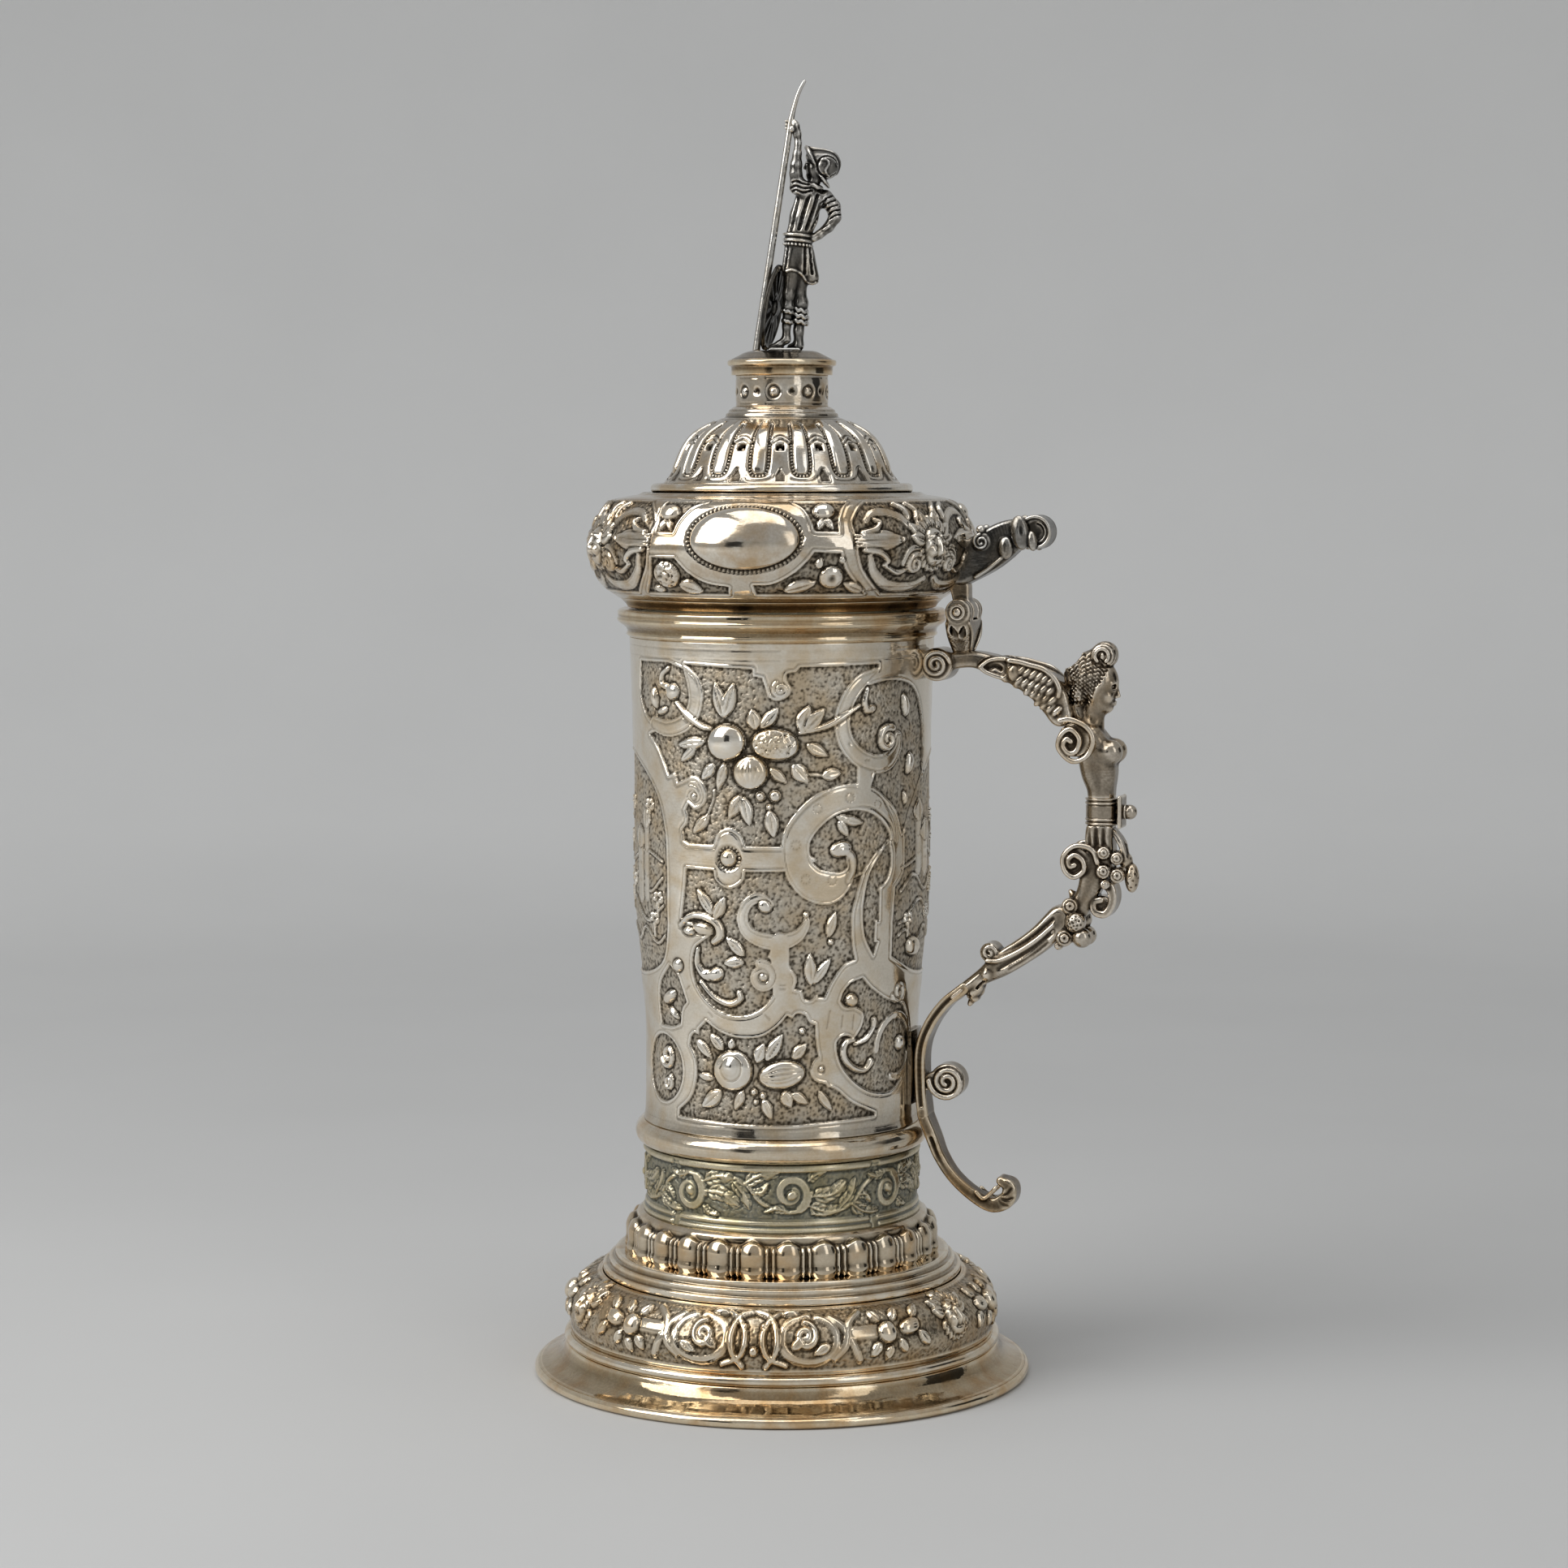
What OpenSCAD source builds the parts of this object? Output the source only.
// Lidded silver jug in tankard form: a tall chased drum on a spreading foot, a hinged domed lid,
// a cast scroll handle with a bust, and a standing spearman as finial. Millimetres.
// The axis of the drum is Z, the table is z = 0, and the handle lies along +X.

/* [Foot] */
// Radius of the foot over its rim wire
foot_r = 71.5; // [68:0.5:76]
// Height of the rim wire
rim_h = 3; // [2:0.5:4]
// Height where the flange meets the bead ring
flange_top = 9.3; // [8.5:0.1:10]
// Height where the bead ring meets the bulge
bead_top = 12.3; // [11.5:0.1:13]
// Radius of the bulging foot band
torus_r = 62.3; // [60:0.1:63.5]
// Height of the top of the bulging band
torus_top = 29.5; // [28:0.5:31]
// Height of the top of the stepped rings
step_top = 35.5; // [34:0.5:36]

/* [Stem] */
// Radius over the lobes of the gadroon ring
gadroon_r = 45; // [44:0.5:46]
// Height of the top of the gadroon ring
gadroon_top = 47.2; // [46:0.2:48]
// Number of lobes round the gadroon ring
gadroon_lobes = 27; // [20:1:30]
// Radius of the frieze band
frieze_r = 39.6; // [38.5:0.1:40.5]
// Height of the top of the frieze band
frieze_top = 66.5; // [65:0.5:68]
// Radius of the half-round waist ring
waist_r = 42.2; // [41:0.1:43]
// Height of the top of the waist ring
waist_top = 73.8; // [72.5:0.1:75]

/* [Drum] */
// Radius of the drum near its foot
drum_low_r = 39.2; // [38.5:0.1:39.5]
// Radius of the drum over its upper half
drum_high_r = 42.6; // [42:0.1:43]
// Height of the top of the drum
drum_top = 212; // [205:0.5:214]
// Radius of the lip
lip_r = 46.8; // [45.5:0.1:48]
// Height of the lip ring
lip_h = 8; // [7.5:0.1:8.2]
// Thickness of the sheet
wall = 1.5; // [1.2:0.1:1.6]

/* [Lid] */
// Gap between the lip and the closed lid
lid_gap = 0.4; // [0.3:0.1:0.6]
// Largest radius of the lid
lid_r = 55.3; // [54:0.1:56]
// Radius of the ring that drops into the mouth
bezel_r = 41.1; // [40.5:0.1:41.2]
// Radius of the small neck drum
neck_r = 13.1; // [12:0.1:13.5]

/* [Chasing] */
// Angle of the middle of every chased band, in degrees from the handle
chase_front = -83; // [-86:1:-80]
// Height of the chased straps over the sheet
strap_h = 0.5; // [0.3:0.1:0.7]
// Number of times that the pattern of the drum repeats
drum_repeats = 2; // [1:1:2]
// Number of times that the pattern of the lid repeats
lid_repeats = 3; // [1:1:3]

/* [Hinge] */
// Distance of the hinge pin from the axis of the drum
hinge_x = 53.4; // [53:0.1:54]
// Height of the hinge pin
hinge_z = 219.7; // [219:0.1:220.2]
// Radius of the knuckles
knuckle_r = 3.6; // [3.2:0.1:3.8]
// Length of the hinge barrel
barrel_l = 15; // [13:0.5:17]
// Length of the middle knuckle
middle_l = 5; // [4:0.5:6]
// Radius of the hinge pin
pin_r = 1.5; // [1.2:0.1:1.8]
// Radial clearance of the pin in the lid's knuckle
pin_play = 0.05; // [0.02:0.01:0.1]

/* [Handle] */
// Half width of the handle's plain strap
strap_half_w = 4.4; // [3.5:0.1:5]
// Half thickness of the handle's plain strap
strap_half_t = 1.7; // [1.4:0.1:1.9]
// Centre of the bust's waist, from the axis of the drum
waist_x = 93.4; // [93:0.1:94]
// Height of the underside of the belt
belt_low = 160.6; // [160:0.1:161]
// Height of the top of the belt
belt_high = 168.2; // [167.5:0.1:169]

/* [Finial] */
// Turn of the figure about the axis, in degrees
figure_turn = 17; // [0:1:30]
// Radius of the spear's shaft
spear_r = 1; // [0.8:0.1:1.2]
// Radius of the finial's stud
stud_r = 1.6; // [1.4:0.1:1.9]

/* [Hidden] */

$fn = 96;
silver = "#b9b4a8";
dark_silver = "#8f8a80";
gilt = "#a08a5c";
green_silver = "#93968c";

lip_top = drum_top + lip_h;
lid_low = lip_top + lid_gap;
seat_top = lid_low + 2.8;
shoulder_low = seat_top + 29.2;
shoulder_top = shoulder_low + 3;
dome_top = shoulder_top + 18;
neck_low = dome_top + 3.6;
neck_top = neck_low + 8.8;
cap_top = neck_top + 4.4;
plate_top = cap_top + 2.5;
plate_flat_r = 8.6;
mouth_r = 42;
moulding_inner_r = 36;
web_h = 1.8;
nut_h = 3.4;
nut_r = 3.6;
plate_t = 1.2;
far = 200;

// Smooth curve through given points, with n steps in each stretch
function between(a, b, c, d, t) =
    0.5 * (2 * b + (c - a) * t + (2 * a - 5 * b + 4 * c - d) * t * t + (3 * b - a - 3 * c + d) * t * t * t);
function smooth(p, n) = concat(
    [for (i = [0 : len(p) - 2], j = [0 : n - 1])
        between(p[max(i - 1, 0)], p[i], p[i + 1], p[min(i + 2, len(p) - 1)], j / n)],
    [p[len(p) - 1]]);
function arc(centre, r, from, to, n) =
    [for (i = [0 : n]) centre + r * [cos(from + (to - from) * i / n), sin(from + (to - from) * i / n)]];
function back_to_front(p) = [for (i = [len(p) - 1 : -1 : 0]) p[i]];
function normal_at(p, i) =
    let (d = p[min(i + 1, len(p) - 1)] - p[max(i - 1, 0)]) [-d[1], d[0]] / norm(d);

// Outline of a sheet: the outer line and the same line moved in by the wall, with level ends
function sheet(p) = concat(p, back_to_front(
    [for (i = [0 : len(p) - 1])
        i == 0 || i == len(p) - 1 ? p[i] - [wall, 0] : p[i] + wall * normal_at(p, i)]));

// A ring of rectangular section
function band(inner, outer, low, high) = [[inner, low], [outer, low], [outer, high], [inner, high]];

// Outer lines of the sheets, radius and height, from the bottom up
foot_line = smooth([
    [foot_r - 1, rim_h], [foot_r - 4, rim_h + 1], [torus_r + 1.6, flange_top - 3.2], [torus_r, flange_top]], 4);
torus_line = smooth([
    [torus_r - 1.6, bead_top], [torus_r, bead_top + 6.5], [torus_r - 2.2, torus_top - 5],
    [torus_r - 6.2, torus_top - 1.2], [torus_r - 10.4, torus_top]], 4);
drum_knots = [
    [drum_low_r + 0.6, waist_top], [drum_low_r, waist_top + 5], [drum_low_r, waist_top + 28],
    [drum_low_r + 1.2, waist_top + 42], [drum_high_r - 0.4, waist_top + 60], [drum_high_r, waist_top + 76],
    [drum_high_r, drum_top - 28], [drum_high_r + 0.8, drum_top]];
drum_line = smooth(drum_knots, 4);
lid_knots = [
    [lip_r - 0.3, seat_top], [lid_r - 4.6, seat_top + 3], [lid_r - 1.9, seat_top + 7.2],
    [lid_r, seat_top + 14.6], [lid_r - 1.4, seat_top + 19.6], [lid_r - 3.8, seat_top + 24.6],
    [lid_r - 7.2, seat_top + 27.6], [lid_r - 16.5, shoulder_low]];
lid_line = smooth(lid_knots, 4);
dome_line = smooth([
    [33.6, shoulder_top], [31.4, shoulder_top + 3], [30.2, shoulder_top + 6], [28.2, shoulder_top + 10.4],
    [24.6, shoulder_top + 14.4], [17.6, dome_top]], 4);

module ring(outline, tint) {
    color(tint) rotate_extrude() polygon(outline);
}

// Everything inside an outer line, used to seat a piece against the sheet
module inside(line) {
    rotate_extrude() polygon(concat(line, [[0, line[len(line) - 1][1]], [0, line[0][1]]]));
}

// Chased relief. A spot on a band is its distance along the band from the middle, at radius r, and its height.
root_t = 0.8;
boss_h = 4;
function turn_of(r, s) = chase_front + s / r * 180 / PI;
function radius_at(line, z) = lookup(z, [for (p = line) [p[1], p[0]]]);

// Stands a drawing on the band: x along it, y up, z outward
module on_band(r, s, z) {
    rotate([0, 0, turn_of(r, s)]) translate([0, 0, z]) rotate([90, 0, 90]) children();
}

// Round boss: the cap of a ball, a wide and h high
module bud(line, r, s, z, a, h) {
    rise = h + a * a / (2 * r);
    ball = (a * a + rise * rise) / (2 * rise);
    on_band(r, s, z) translate([0, 0, radius_at(line, z) + h - ball]) sphere(r = ball);
}

// Strap bent to an arc of that outer radius
module bow(r, s, z, outer, width, from, sweep) {
    on_band(r, s, z) rotate([0, 0, from]) rotate_extrude(angle = sweep)
    translate([outer - width, r - 18]) square([width, 24]);
}

// Skin in which relief of that height stands, rooted in the sheet
module skin(line, h) {
    rotate_extrude() polygon(concat([for (p = line) p + [h, 0]], back_to_front([for (p = line) p - [root_t, 0]])));
}

// Foot and stem
module base_rim_wire() {
    r = rim_h / 2;
    ring(concat([[foot_r - 5, 0]], arc([foot_r - r, r], r, -90, 90, 8), [[foot_r - 5, rim_h]]), silver);
}

module foot_flange() {
    difference() {
        ring(sheet(foot_line), gilt);
        base_rim_wire();
    }
}

module foot_bead_ring() {
    r = (bead_top - flange_top) / 2;
    ring(concat([[torus_r - 4, flange_top]], arc([torus_r - 0.9, flange_top + r], r, -90, 90, 8),
        [[torus_r - 4, bead_top]]), silver);
}

module foot_torus() {
    ring(sheet(torus_line), silver);
}

module foot_step_rings() {
    steps = 3;
    rise = (step_top - torus_top) / steps;
    widest = torus_r - 10.6;
    run = 1.8;
    tread = [for (i = [0 : steps - 1], end = [0, 1]) [widest - i * run, torus_top + (i + end) * rise]];
    ring(concat([[moulding_inner_r + 6, torus_top]], tread, [[moulding_inner_r + 6, step_top]]), silver);
}

module gadroon_ring() {
    waist = [gadroon_r - 4, step_top];
    lip = [gadroon_r - 4.4, gadroon_top];
    line = smooth([waist, [gadroon_r - 1, step_top + 1.6], [gadroon_r, step_top + 4.4],
        [gadroon_r - 1.4, gadroon_top - 2.8], lip], 4);
    groove_r = 1.1;
    first_groove = 2.7;
    color(silver) difference() {
        rotate_extrude() polygon(concat([[moulding_inner_r, step_top]], line, [[moulding_inner_r, gadroon_top]]));
        for (i = [0 : gadroon_lobes - 1])
            rotate([0, 0, first_groove + i * 360 / gadroon_lobes])
            translate([gadroon_r + 0.3, 0, step_top - 1]) cylinder(r = groove_r, h = gadroon_top, $fn = 24);
    }
}

module frieze_band() {
    line = smooth([[frieze_r + 0.4, gadroon_top], [frieze_r - 0.4, gadroon_top + 3], [frieze_r, gadroon_top + 9.6],
        [frieze_r - 0.2, frieze_top - 4], [frieze_r + 0.2, frieze_top]], 4);
    difference() {
        ring(sheet(line), green_silver);
        below(gadroon_top);
    }
}

module waist_ring() {
    r = (waist_top - frieze_top) / 2;
    ring(concat([[moulding_inner_r, frieze_top]], arc([waist_r - r, frieze_top + r], r, -90, 90, 10),
        [[moulding_inner_r, waist_top]]), silver);
}

// Body
module drum_relief() {
    fruit = [[-8.4, 111, 5.4, 2.3], [5.5, 110.6, 5.6, 2.1], [-1.4, 102.8, 4.9, 2.1],
        [-8, 19, 6, 2.2], [7.4, 18.2, 5.4, 1.6], [-7.7, 79, 2.5, 1.5]];
    // Straps as [along, up, outer radius, width, first angle, sweep]; the last is the round frame of the landscape
    straps = [[26.8, 82.6, 17.6, 6.6, 0, 245], [36, 117.4, 13.8, 4.4, 95, 218], [-29, 124.5, 13, 4.4, 250, 145],
        [-7, 48, 19.4, 6, 190, 160], [40, 27, 20, 4.6, 140, 110], [5.2, 64.4, 10.2, 3, 160, 170],
        [74, 74.5, 30, 3.4, 0, 360]];
    bar_from = -21;
    bar_to = 8;
    bar_low = 75.5;
    bar_high = 82.4;
    r = drum_high_r;
    intersection() {
        for (f = fruit) bud(drum_line, r, f[0], waist_top + f[1], f[2], f[3]);
        skin(drum_knots, boss_h);
    }
    intersection() {
        union() {
            for (b = straps) bow(r, b[0], waist_top + b[1], b[2], b[3], b[4], b[5]);
            rotate([0, 0, turn_of(r, bar_from)]) rotate_extrude(angle = (bar_to - bar_from) / r * 180 / PI)
            translate([r - 6, waist_top + bar_low]) square([12, bar_high - bar_low]);
        }
        skin(drum_knots, strap_h);
    }
}

// The sheet's soldered seam runs up the plain strip beside the round frame
drum_seam = -25;

module body_drum() {
    color(silver) {
        rotate([0, 0, turn_of(drum_high_r, drum_seam)]) ring(sheet(drum_line), silver);
        for (i = [1 : drum_repeats]) rotate([0, 0, i * 360 / drum_repeats]) drum_relief();
    }
}

module body_floor() {
    floor_t = 2;
    color(silver) translate([0, 0, waist_top]) cylinder(r = drum_low_r - wall - 0.1, h = floor_t);
}

module lip_ring() {
    root = drum_high_r + 0.8;
    line = concat([[root, drum_top], [root + 1, drum_top + 0.8], [root + 0.6, drum_top + 1.8]],
        smooth([[root + 0.8, drum_top + 2.2], [root + 1.4, drum_top + 3.6], [lip_r - 0.4, lip_top - 3]], 3),
        [[lip_r, lip_top - 2.4], [lip_r, lip_top - 0.6], [lip_r - 0.8, lip_top]]);
    ring(concat([[mouth_r, drum_top]], line, [[mouth_r, lip_top]]), gilt);
}

// Handle: knots are [x, z, half thickness, half width], linked two by two
module knot(k) {
    translate([k[0], 0, k[1]]) scale([1, k[3] / k[2], 1]) sphere(r = k[2], $fn = 16);
}

module links(knots) {
    for (i = [0 : len(knots) - 2]) hull() {
        knot(knots[i]);
        knot(knots[i + 1]);
    }
}

// A disc across the handle with a rounded edge
module scroll(x, z, r, half_w) {
    translate([x, 0, z]) rotate([90, 0, 0]) hull() {
        cylinder(r = r - 0.8, h = 2 * half_w, center = true, $fn = 24);
        cylinder(r = r, h = 2 * half_w - 1.6, center = true, $fn = 24);
    }
}

module paired(y) {
    for (side = [-1, 1]) translate([0, side * y, 0]) children();
}

// A swept bar: stations are [x, z, half thickness, half width], with rounded-square sections
function rounded(v) = sign(v) * sqrt(abs(v));
module bar(stations, sides = 16) {
    n = len(stations);
    points = [for (i = [0 : n - 1])
        let (s = stations[i], t = normal_at(stations, i))
        for (k = [0 : sides - 1])
            let (u = rounded(cos(360 * k / sides)), v = rounded(sin(360 * k / sides)))
            [s[0] + t[0] * s[2] * u, s[3] * v, s[1] + t[1] * s[2] * u]];
    last = (n - 1) * sides;
    skin = [for (i = [0 : n - 2], k = [0 : sides - 1])
        let (a = i * sides + k, b = i * sides + (k + 1) % sides)
        for (f = [[a, a + sides, b], [b, a + sides, b + sides]]) f];
    caps = [for (k = [1 : sides - 2], f = [[0, k, k + 1], [last, last + k + 1, last + k]]) f];
    polyhedron(points, concat(skin, caps));
}

// The plain strap and the tail follow one route, parted at strap_end
strap_x = drum_low_r + plate_t + strap_half_t;
strap_start = [54, 113];
strap_slope = 37;
strap_end = 16;
low_route = smooth([
    [strap_start[0], strap_start[1], strap_half_t, strap_half_w], [49, 108.6, strap_half_t, strap_half_w],
    [44.6, 102.4, strap_half_t, strap_half_w],
    [strap_x, 95, strap_half_t, strap_half_w], [strap_x, 84, strap_half_t, strap_half_w],
    [strap_x + 0.8, 76, strap_half_t, strap_half_w], [45.4, 70, 1.8, 4], [47.6, 64.6, 1.7, 3.6],
    [51.4, 59, 1.7, 3.2], [57, 54.2, 1.9, 3], [62.8, 51.4, 2.2, 3.2], [67.4, 53.4, 2.4, 3.6],
    [68, 57.2, 1.9, 3.6], [65.4, 58.4, 1.3, 3]], 4);
function stretch(from, to) = [for (i = [from : to]) low_route[i]];

module upper_arm_shape() {
    links([[47.6, 205, 3.8, 4.6], [52.6, 206.2, 2.6, 4.2], [57.6, 206.4, 2.6, 4], [63.4, 204.6, 3.2, 4.4],
        [69.2, 202.4, 3.8, 5], [74.6, 200, 4.4, 5.4], [79, 196.6, 5, 5.6], [82.4, 191.4, 4, 5.2]]);
    links([[64, 202.4, 2.6, 5], [70.4, 199.6, 2.4, 5.2], [76.4, 195.4, 2.6, 5.4]]);
    scroll(47.2, 205, 5.2, 5.2);
}

module bust_shape() {
    // Torso, breast, neck and head
    links([[waist_x, belt_high - 2, 4.6, 4.6], [93, 174, 4.6, 4.8], [92.6, 179, 5.6, 6.6],
        [91.6, 184, 4.6, 7.2], [91, 188, 3, 3.2], [90.8, 193, 3, 3], [91.8, 198, 4.8, 4.6], [91.6, 202, 5.6, 5.2]]);
    paired(3.2) links([[92.6, 181, 3, 3], [95.6, 181.6, 3.3, 3.3]]);
    // Jaw, nose and the hair rolled over the brow and gathered behind
    links([[93, 196, 3, 3], [94.6, 193.4, 1.5, 1.7]]);
    links([[96, 200, 1, 0.9], [97.2, 197.6, 0.8, 0.9]]);
    links([[95.6, 207.2, 3.6, 4.6], [90, 206.2, 4.2, 5.4], [86, 203.4, 3.4, 4.4], [87.2, 197.6, 2.8, 3.6]]);
    scroll(87, 184.6, 4.9, 8);
}

module fruit_shape() {
    links([[waist_x, belt_low + 1, 4.4, 4.6], [93.6, 154, 4, 4.6], [92, 148, 4.6, 5], [89.4, 141, 3.4, 4.2],
        [85.4, 134.6, 3.6, 4.4]]);
    scroll(85.6, 149.6, 4.4, 6);
    scroll(93, 137.6, 3, 4.6);
    // Berries in two staggered rows on each side and one row in front
    paired(4.4) links([[91.8, 153.4, 1.9, 1.9], [92, 149.6, 2, 2], [93.4, 146, 1.8, 1.8]]);
    paired(3.2) links([[96.4, 152.6, 2, 2], [97, 147.8, 2.2, 2.2]]);
    links([[98.6, 150, 2.2, 2.2], [99.8, 147, 2.6, 2.8]]);
    // Buds where the lower arm starts
    paired(2.6) links([[86.6, 131.6, 2.4, 2.2], [84.6, 128, 2.2, 2]]);
    links([[88.6, 130.4, 2.4, 2.6], [88, 127.6, 2, 2.2]]);
}

module below(z) {
    translate([0, 0, z - far / 2]) cube([2 * far, far, far], center = true);
}

module above(z) {
    below(z + far);
}

module handle_upper_arm() {
    color(dark_silver) difference() {
        upper_arm_shape();
        inside(drum_line);
        bust_shape();
        post_shape();
    }
}

module handle_bust() {
    color(dark_silver) difference() {
        bust_shape();
        below(belt_high);
    }
}

module handle_belt() {
    r = 4.7;
    bands = 4;
    h = (belt_high - belt_low) / bands;
    bead = [for (i = [0 : bands - 1]) each arc([r - 0.5, belt_low + (i + 0.5) * h], h / 2, -90, 90, 6)];
    color(dark_silver) translate([waist_x, 0, 0])
    rotate_extrude() polygon(concat([[0, belt_low]], bead, [[0, belt_high]]));
}

module handle_belt_boss() {
    front = waist_x + 4.7 + 0.45;
    middle = (belt_low + belt_high) / 2;
    boss_r = 2.2;
    color(dark_silver) translate([front, 0, middle]) {
        translate([0, -4, -4.6]) cube([1, 8, 9.2]);
        rotate([0, 90, 0]) rotate_extrude()
        polygon(concat([[0, 0.9]], [for (p = arc([0, 1], boss_r, 0, 90, 8)) p]));
    }
}

module handle_fruit_cluster() {
    color(dark_silver) difference() {
        fruit_shape();
        above(belt_low);
    }
}

module handle_lower_arm() {
    color(dark_silver) difference() {
        union() {
            links([[82, 135, 3.6, 4.6], [75, 126.4, 3.9, 5], [66.5, 120.6, 3.4, 4.8], [59.4, 116.6, 2.4, 4.6],
                [strap_start[0], strap_start[1], strap_half_t, strap_half_w], [51, 110.6, strap_half_t, strap_half_w]]);
            // Curl on top of the leaf and the leaf's tip below
            links([[64, 122, 2, 3.4], [61.6, 124, 1.9, 3], [60.2, 121.6, 1.6, 2.8]]);
            links([[66, 117.4, 2, 3.6], [61, 113.6, 1.9, 3.2], [57, 110.6, 1.5, 2.4], [54.8, 108.4, 0.9, 1.4]]);
            paired(3.4) links([[78, 130, 1.6, 1.6], [71, 123.6, 1.5, 1.4], [63, 118.6, 1, 1]]);
        }
        fruit_shape();
        // Square end where the strap starts, above the leaf's tip
        translate([strap_start[0], 0, strap_start[1]]) rotate([0, -strap_slope, 0])
        translate([-far, -far / 2, -strap_half_t - 1]) cube([far, far, far]);
    }
}

module handle_plate() {
    half_turn = 8;
    color(silver) rotate([0, 0, -half_turn]) rotate_extrude(angle = 2 * half_turn)
    polygon(band(drum_low_r, drum_low_r + plate_t, waist_top + 6, waist_top + 27));
}

module handle_strap() {
    color(dark_silver) difference() {
        bar(stretch(0, strap_end));
        handle_plate();
    }
}

module handle_volute() {
    // A spiral band of shrinking radius that starts on the strap, backed by a thinner disc
    turns = 2.2;
    outer_r = 5.6;
    inner_r = 1.9;
    band_t = 1.3;
    steps = 44;
    face_x = strap_x + strap_half_t;
    centre = [face_x + outer_r + 0.4, 86.4];
    function coil(i, out) =
        let (a = 180 + 360 * turns * i / steps, r = outer_r - (outer_r - inner_r) * i / steps + out)
        centre + r * [cos(a), sin(a)];
    spiral = concat([for (i = [0 : steps]) coil(i, 0)], [for (i = [steps : -1 : 0]) coil(i, -band_t)]);
    disc_half_w = strap_half_w - 1.6;
    color(dark_silver) {
        translate([0, strap_half_w - 0.4, 0]) rotate([90, 0, 0])
        linear_extrude(height = 2 * strap_half_w - 0.8) polygon(spiral);
        across(centre[0], centre[1], outer_r - 1, -disc_half_w, disc_half_w);
        translate([face_x, -disc_half_w, centre[1] - 1.8]) cube([2.4, 2 * disc_half_w, 5]);
    }
}

module handle_tail() {
    color(dark_silver) bar(stretch(strap_end, len(low_route) - 1));
}

// Hinge
module across(x, z, r, from, to) {
    translate([x, to, z]) rotate([90, 0, 0]) cylinder(r = r, h = to - from);
}

post_low = 208.2;
module post_shape() {
    // Side outline and front outline meet: thick at the knuckles, drawn in to the arm
    side = [[hinge_x - 2.6, post_low], [hinge_x + 2.8, post_low], [hinge_x + knuckle_r, hinge_z - 4],
        [hinge_x + knuckle_r, hinge_z], [hinge_x - knuckle_r, hinge_z], [hinge_x - knuckle_r, hinge_z - 3]];
    half = barrel_l / 2;
    front = smooth([[2.4, post_low], [half - 1.6, hinge_z - 8], [half + 0.4, hinge_z - 4.4], [half, hinge_z]], 4);
    intersection() {
        translate([0, half + 2, 0]) rotate([90, 0, 0]) linear_extrude(height = 2 * half + 4) polygon(side);
        translate([hinge_x - 6, 0, 0]) rotate([90, 0, 90]) linear_extrude(height = 12)
        polygon(concat(front, back_to_front([for (p = front) [-p[0], p[1]]])));
    }
}

// Radius of the pin's riveted ends
head_r = 2.3;

module hinge_post() {
    half = barrel_l / 2;
    slot = middle_l / 2 + 0.3;
    color(dark_silver) difference() {
        union() {
            post_shape();
            across(hinge_x, hinge_z, knuckle_r, -half, half);
        }
        across(hinge_x, hinge_z, knuckle_r + 0.4, -slot, slot);
        across(hinge_x, hinge_z, pin_r + pin_play, -far, far);
        across(hinge_x, hinge_z, head_r + pin_play, half, far);
        across(hinge_x, hinge_z, head_r + pin_play, -far, -half);
        translate([hinge_x - 8, -slot, hinge_z]) cube([16, 2 * slot, 8]);
    }
}

module hinge_pin() {
    half = barrel_l / 2;
    head_h = 0.7;
    color(silver) {
        across(hinge_x, hinge_z, pin_r, -half - head_h, half + head_h);
        for (y = [-half - head_h, half]) across(hinge_x, hinge_z, head_r, y, y + head_h);
    }
}

module leaf_shape() {
    half = middle_l / 2;
    across(hinge_x, hinge_z, knuckle_r, -half, half);
    translate([0, half, 0]) rotate([90, 0, 0]) linear_extrude(height = middle_l)
    polygon([[hinge_x - 2.6, hinge_z + 2], [hinge_x + 2, hinge_z + 2], [hinge_x + 2.6, seat_top + 3.6],
        [hinge_x + 0.4, seat_top + 6.4], [hinge_x - 4, seat_top + 4]]);
}

module hinge_lid_leaf() {
    color(dark_silver) difference() {
        leaf_shape();
        across(hinge_x, hinge_z, pin_r + pin_play, -far, far);
        inside(lid_line);
    }
}

// Lid
module lid_bezel() {
    ring(band(bezel_r - 1.3, bezel_r, lip_top - 7.4, seat_top), silver);
}

module lid_seat_ring() {
    inner = bezel_r;
    line = smooth([[lip_r - 3, lid_low], [lip_r - 2.2, lid_low + 1.2], [lip_r - 0.6, seat_top]], 4);
    ring(concat([[inner, lid_low]], line, [[inner, seat_top]]), silver);
}

// Oval boss along the band, half length a and half height b
module lid_oval(s, z, a, b, h) {
    profile_r = 20;
    drop = h + b * b / (2 * profile_r);
    across = (b * b + drop * drop) / (2 * drop);
    lost = 1 - (h + a * a / (2 * lid_r)) / across;
    along = a / sqrt(1 - lost * lost);
    half = [for (t = [-90 : 15 : 90]) [abs(t) == 90 ? 0 : across * cos(t), along * sin(t)]];
    on_band(lid_r, s, z) translate([0, 0, radius_at(lid_line, z) + h - across]) rotate([0, 90, 0])
    rotate_extrude() polygon(half);
}

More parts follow.
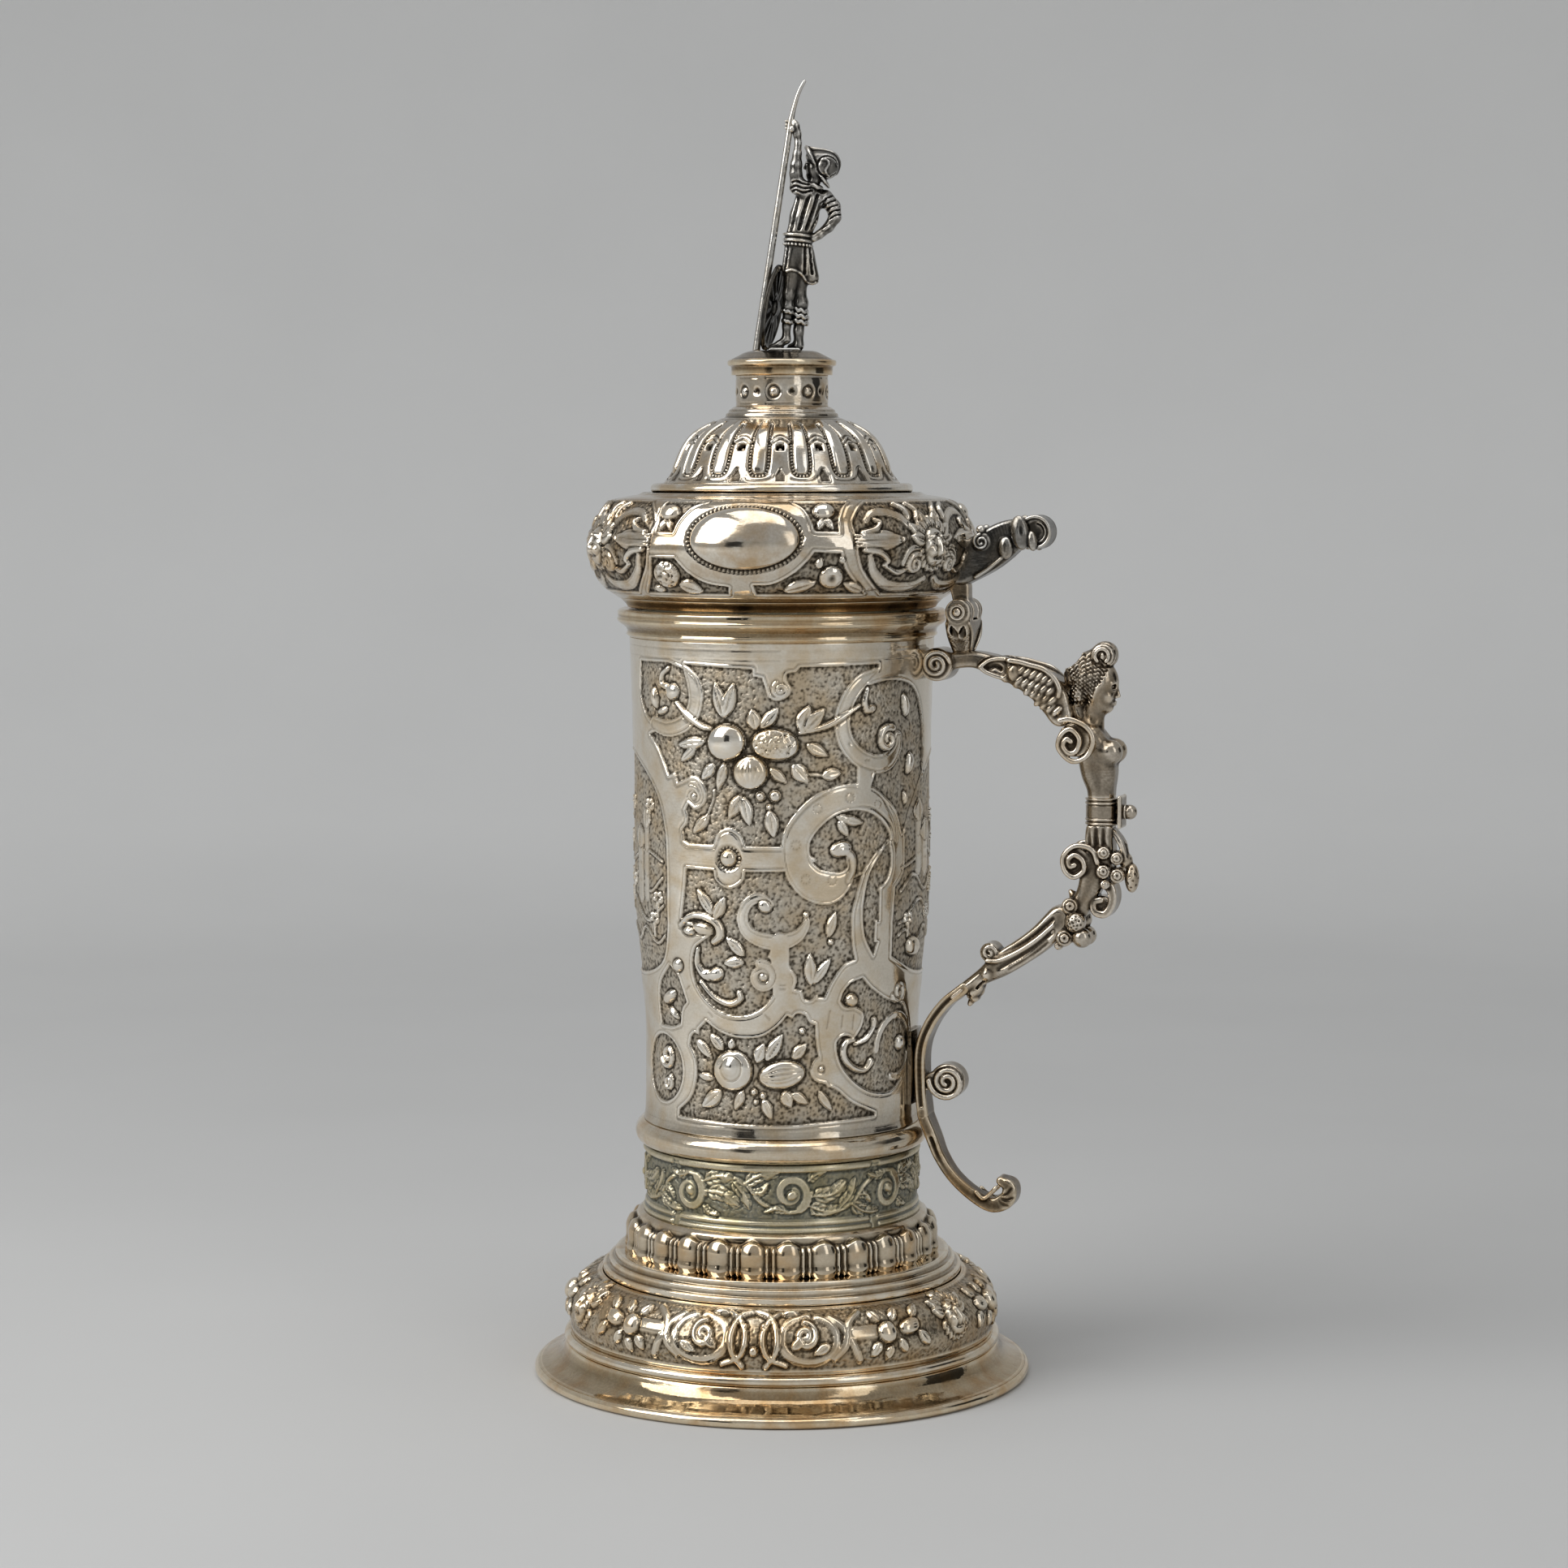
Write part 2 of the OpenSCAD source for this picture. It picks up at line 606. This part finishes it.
module lid_relief() {
    middle = PI * lid_r / lid_repeats;
    mask_up = 15.1;
    leaves_r = 9.4;
    // Buds in the upper corners of the frame, and the mask within its leaves, as [along, height, radius, rise]
    buds = [[-25.4, 24.7, 3.2, 1.2], [22, 24.9, 3.2, 1.2], [middle, mask_up, 5, 2.8]];
    intersection() {
        union() {
            lid_oval(-1.2, seat_top + 17.2, 15.8, 9.3, 2.4);
            for (b = buds) bud(lid_line, lid_r, b[0], seat_top + b[1], b[2], b[3]);
        }
        skin(lid_knots, boss_h);
    }
    intersection() {
        bow(lid_r, middle, seat_top + mask_up, leaves_r, leaves_r, 0, 360);
        skin(lid_knots, strap_h);
    }
}

module lid_torus() {
    color(silver) {
        ring(sheet(lid_line), silver);
        for (i = [1 : lid_repeats]) rotate([0, 0, i * 360 / lid_repeats]) lid_relief();
    }
}

module lid_shoulder_ring() {
    r = (shoulder_top - shoulder_low) / 2;
    ring(concat([[32, shoulder_low]], arc([37.3 - r, shoulder_low + r], r, -90, 90, 8), [[32, shoulder_top]]), silver);
}

module lid_dome() {
    difference() {
        ring(sheet(dome_line), silver);
        below(shoulder_top);
    }
}

module lid_neck_ring() {
    line = [[17.6, dome_top], [16, dome_top + 0.6], [15.9, dome_top + 1.6], [15.1, dome_top + 2],
        [15.1, dome_top + 2.6], [neck_r + 0.4, neck_low]];
    ring(concat([[stud_r + 0.1, dome_top]], line,
        [[neck_r - wall, neck_low], [neck_r - wall, dome_top + web_h], [stud_r + 0.1, dome_top + web_h]]), silver);
}

module lid_neck() {
    ring(band(neck_r - wall, neck_r, neck_low, neck_top), silver);
}

module lid_cap_ring() {
    line = [[neck_r + 1.3, neck_top], [neck_r + 1.3, neck_top + 2.4], [neck_r + 2.3, neck_top + 2.8],
        [neck_r + 2.4, cap_top - 0.5], [neck_r + 1.9, cap_top]];
    ring(concat([[neck_r - wall, neck_top]], line,
        [[stud_r + 0.1, cap_top], [stud_r + 0.1, cap_top - web_h], [neck_r - wall, cap_top - web_h]]), gilt);
}

module thumbpiece() {
    root = lid_r - 3;
    half_w = 4.6;
    lower = smooth([[root, seat_top + 4], [lid_r + 3, seat_top + 5], [lid_r + 12, seat_top + 11.4],
        [lid_r + 18.6, seat_top + 14.2], [lid_r + 22.6, seat_top + 17]], 4);
    upper = smooth([[lid_r + 22.6, seat_top + 18.4], [lid_r + 19.4, seat_top + 22.2], [lid_r + 14.6, seat_top + 23.4],
        [lid_r + 8, seat_top + 21], [lid_r + 2, seat_top + 19.4], [root, seat_top + 20]], 4);
    color(dark_silver) difference() {
        union() {
            translate([0, half_w, 0]) rotate([90, 0, 0]) linear_extrude(height = 2 * half_w)
            polygon(concat(lower, upper));
            across(lid_r + 16.4, seat_top + 19, 4, -half_w - 1.6, half_w + 1.6);
            across(lid_r + 3.6, seat_top + 12, 4.6, -half_w - 1.2, half_w + 1.2);
        }
        leaf_shape();
        inside(lid_line);
    }
}

// Finial, drawn in its own plane and turned about the axis
module finial_plate() {
    line = smooth([[neck_r + 1.4, cap_top], [12.6, cap_top + 1], [10.4, plate_top - 0.4], [plate_flat_r, plate_top]], 3);
    ring(concat([[0, cap_top]], line, [[0, plate_top]]), silver);
}

// Limbs are [x, y, z, radius] above the plate, linked two by two
module limb(joints) {
    for (i = [0 : len(joints) - 2]) hull() for (j = [joints[i], joints[i + 1]])
        translate([j[0], j[1], j[2]]) sphere(r = j[3], $fn = 16);
}

// Places on the spear's line: foot on the plate, hand and tip
spear_foot = [-7.3, 1, 0];
spear_hand = [2.6, -1.4, 64.6];
spear_tip = [6.4, -1.8, 75.4];

module aimed(from, to) {
    d = to - from;
    translate(from) rotate([0, atan2(norm([d[0], d[1]]), d[2]), atan2(d[1], d[0])]) children();
}

module on_plate() {
    translate([0, 0, plate_top]) rotate([0, 0, figure_turn]) children();
}

module shaft() {
    aimed(spear_foot, spear_hand) cylinder(r = spear_r, h = norm(spear_hand - spear_foot));
}

module finial_figure() {
    color(dark_silver) on_plate() difference() {
        union() {
            // Plinth, boots and legs
            hull() for (x = [-2.4, 4.6]) translate([x, 0, 0]) cylinder(r = 2.6, h = 0.9, $fn = 24);
            limb([[-3, -0.6, 1.6, 1], [1, -0.6, 1.8, 1.5], [1.3, -0.6, 7, 1.5], [1.4, -0.8, 15, 2], [2.6, -0.6, 20, 2.4]]);
            limb([[2.6, 1.4, 1.6, 1], [4.6, 1.4, 1.8, 1.5], [4.7, 1.4, 7, 1.6], [5.6, 1.4, 14, 2.1], [5.6, 1, 20, 2.6]]);
            // Skirted tunic, belt and chest
            limb([[2.4, 0, 20.4, 3], [4.2, 0, 31, 3.4]]);
            limb([[8, 0.6, 20.6, 2.6], [5.4, 0.4, 31, 3.2]]);
            limb([[4.4, 0, 31.4, 3.8], [6.6, 0.4, 40, 4.6], [8, 0.4, 44.4, 4]]);
            limb([[8, 0.2, 45, 2.2], [10, 0, 50, 3.4]]);
            // Raised arm with its rolled sleeve, and the other hand on the hip
            limb([[7, -2.4, 44, 2.6], [4.2, -3, 46, 2.2], [4.4, -2.8, 56, 1.5], [3, -1.6, 62.6, 1.5]]);
            limb([[11.4, 1.4, 43, 2.6], [14.6, 1.6, 37.2, 1.9], [8.6, -1.4, 32, 1.6]]);
            // Helmet with its raised brim and comb
            limb([[11.2, 0, 51.4, 4.4], [13, 0, 51.4, 3.8]]);
            limb([[7.6, 0, 55, 1.6], [12, 0, 55.4, 1.8], [15, 0, 52.6, 1.6]]);
        }
        below(0);
        shaft($fn = 32);
        shield_shape();
    }
}

module shield_shape() {
    half_h = 12.2;
    half_w = 7.4;
    boss_r = 2;
    lean = 10.4;
    turned = 72;
    thick = 0.9;
    oval = [for (a = [0 : 9 : 351]) [half_w * cos(a), half_h * sin(a)]];
    translate([-4.9, 0, 0.2]) rotate([0, lean, 0]) rotate([0, 0, turned]) translate([0, 0, half_h])
    rotate([90, 0, 0]) union() {
        linear_extrude(height = thick) polygon(oval);
        translate([0, 0, thick]) cylinder(r1 = boss_r, r2 = boss_r / 2, h = 0.6, $fn = 32);
    }
}

module finial_shield() {
    color(dark_silver) on_plate() difference() {
        shield_shape();
        below(0);
    }
}

module finial_spear() {
    sunk = 0.6;
    color(silver) on_plate() {
        shaft();
        aimed(spear_hand, spear_tip) translate([0, 0, -sunk])
        cylinder(r1 = spear_r - 0.2, r2 = 0.4, h = norm(spear_tip - spear_hand) + sunk);
    }
}

module finial_screw() {
    color(silver) translate([0, 0, dome_top - nut_h - 1.6]) cylinder(r = stud_r, h = cap_top - dome_top + nut_h + 1.6);
}

module finial_nut() {
    color(silver) translate([0, 0, dome_top - nut_h]) difference() {
        cylinder(r = nut_r, h = nut_h, $fn = 6);
        translate([0, 0, -1]) cylinder(r = stud_r, h = nut_h + 2);
    }
}

base_rim_wire();
foot_flange();
foot_bead_ring();
foot_torus();
foot_step_rings();
gadroon_ring();
frieze_band();
waist_ring();
body_drum();
body_floor();
lip_ring();
handle_upper_arm();
handle_bust();
handle_belt();
handle_belt_boss();
handle_fruit_cluster();
handle_lower_arm();
handle_plate();
handle_strap();
handle_volute();
handle_tail();
hinge_post();
hinge_pin();
hinge_lid_leaf();
lid_bezel();
lid_seat_ring();
lid_torus();
lid_shoulder_ring();
lid_dome();
lid_neck_ring();
lid_neck();
lid_cap_ring();
thumbpiece();
finial_plate();
finial_figure();
finial_shield();
finial_spear();
finial_screw();
finial_nut();
